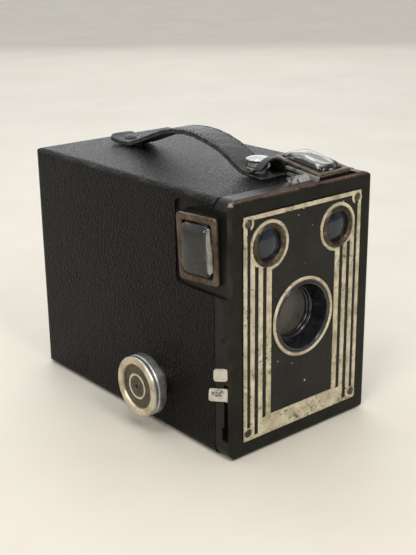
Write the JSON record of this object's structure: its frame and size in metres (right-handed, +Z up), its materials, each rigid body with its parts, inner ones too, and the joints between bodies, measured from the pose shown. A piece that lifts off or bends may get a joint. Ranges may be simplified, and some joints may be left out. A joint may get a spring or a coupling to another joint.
{
  "type": "box camera",
  "caption": "Vertical-format roll-film box camera: covered metal case, striped front, twin reflecting finders, strap, winding knob, slide-out front unit and working shutter.",
  "frame": {"origin": "centre of the body's flat bottom face", "axes": "+Z up, the lens looks along -Y, the winding knob is on the -X side"},
  "size_m": [0.0869, 0.1339, 0.1166],
  "materials": {
    "covering": "fine crepe grain, satin, worn along the edges",
    "case_black": "satin black enamel",
    "black_enamel": "gloss black enamel with rubbed edges",
    "inner_black": "matt black",
    "cream_enamel": "pale enamel, speckled with wear",
    "copper_brown": "tarnished, rubbed bright at the corners",
    "nickel": "dulled nickel plate",
    "steel": "plain sheet steel",
    "pale_metal": "pale, finger-worn",
    "clear_glass": "clear, slightly hazed",
    "smoked_glass": "flat cover glass, dusty",
    "red_glass": "ruby safelight window",
    "mirror": "silvered",
    "lens_black": "gloss black",
    "strap_leather": "black, stitched, creased",
    "spool_black": "black enamel"
  },
  "bodies": {
    "case": {"outer_case": "case_black", "case_covering": "covering", "red_window": "red_glass", "window_ring": "case_black", "pressure_pad": "inner_black", "strap": "strap_leather", "strap_rivet": "nickel", "strap_collar": "nickel", "key_bushing": "nickel", "latch_spring": "steel"},
    "latch": {"latch_stud": "nickel"},
    "key_collar": {"key_collar": "nickel"},
    "winding_knob": {"winding_knob": "nickel", "winding_key": "steel"},
    "front_unit": {"front_casing": "black_enamel", "front_plate": "black_enamel", "plate_trim": "cream_enamel", "plate_pins": "nickel", "lens_rim": "cream_enamel", "lens_hood": "lens_black", "front_glass": "smoked_glass", "finder_bezels": "copper_brown", "finder_lenses": "clear_glass", "finder_box_side": "inner_black", "finder_box_top": "inner_black", "finder_mirrors": "mirror", "finder_wedge_side": "black_enamel", "finder_wedge_top": "black_enamel", "finder_ledge": "pale_metal", "finder_glass_side": "clear_glass", "finder_glass_top": "clear_glass", "finder_frame_side": "copper_brown", "finder_frame_top": "copper_brown", "shutter_board": "inner_black", "lens_cell": "inner_black", "taking_lens": "clear_glass", "light_cone": "inner_black", "film_carrier": "inner_black", "spool_pivots": "steel", "lever_pivot": "steel", "disc_pivot": "steel", "shutter_spring": "steel", "slide_guides": "inner_black"},
    "takeup_spool": {"takeup_spool": "spool_black"},
    "supply_spool": {"supply_spool": "spool_black"},
    "film_roller_top": {"film_roller_top": "steel"},
    "film_roller_bottom": {"film_roller_bottom": "steel"},
    "exposure_lever": {"exposure_lever": "pale_metal"},
    "shutter_disc": {"shutter_disc": "inner_black"},
    "time_slide": {"time_slide": "pale_metal"},
    "aperture_slide": {"aperture_slide": "pale_metal"}
  },
  "joints": [
    {"name": "front_unit_slide", "type": "slide", "parent": "case", "child": "front_unit", "axis": [0, -1, 0], "range_m": [0, 0.125]},
    {"name": "latch_lift", "type": "slide", "parent": "case", "child": "latch", "axis": [0, 0, 1], "range_m": [0, 0.0022], "stiffness_N_per_m": 250, "springref_m": -0.001, "deforming": ["latch_spring"]},
    {"name": "key_pull", "type": "slide", "parent": "case", "child": "key_collar", "axis": [-1, 0, 0], "range_m": [0, 0.007]},
    {"name": "winding_knob_spin", "type": "hinge", "parent": "key_collar", "child": "winding_knob", "pos_m": [-0.0457, -0.0206, 0.0198], "axis": [-1, 0, 0], "continuous": true},
    {"name": "takeup_spool_spin", "type": "hinge", "parent": "front_unit", "child": "takeup_spool", "pos_m": [0, -0.0206, 0.0198], "axis": [-1, 0, 0], "continuous": true},
    {"name": "supply_spool_spin", "type": "hinge", "parent": "front_unit", "child": "supply_spool", "pos_m": [0, -0.0206, 0.0828], "axis": [-1, 0, 0], "continuous": true},
    {"name": "roller_top_spin", "type": "hinge", "parent": "front_unit", "child": "film_roller_top", "pos_m": [0, 0.0557, 0.0965], "axis": [-1, 0, 0], "continuous": true},
    {"name": "roller_bottom_spin", "type": "hinge", "parent": "front_unit", "child": "film_roller_bottom", "pos_m": [0, 0.0557, 0.0061], "axis": [-1, 0, 0], "continuous": true},
    {"name": "exposure_lever_swing", "type": "hinge", "parent": "front_unit", "child": "exposure_lever", "pos_m": [-0.006, -0.0643, 0.01975], "axis": [0, -1, 0], "range_deg": [0, 28.2], "deforming": ["shutter_spring"]},
    {"name": "shutter_disc_turn", "type": "hinge", "parent": "front_unit", "child": "shutter_disc", "pos_m": [0, -0.0563, 0.033], "axis": [0, 1, 0], "range_deg": [0, 99.2]},
    {"name": "time_slide_pull", "type": "slide", "parent": "front_unit", "child": "time_slide", "axis": [-1, 0, 0], "range_m": [0, 0.0045]},
    {"name": "aperture_slide_pull", "type": "slide", "parent": "front_unit", "child": "aperture_slide", "axis": [0, 0, 1], "range_m": [0, 0.006]}
  ],
  "couplings": [
    {"joint": "takeup_spool_spin", "follows": "winding_knob_spin", "ratio": 1},
    {"joint": "shutter_disc_turn", "follows": "exposure_lever_swing", "ratio": 3.51}
  ]
}
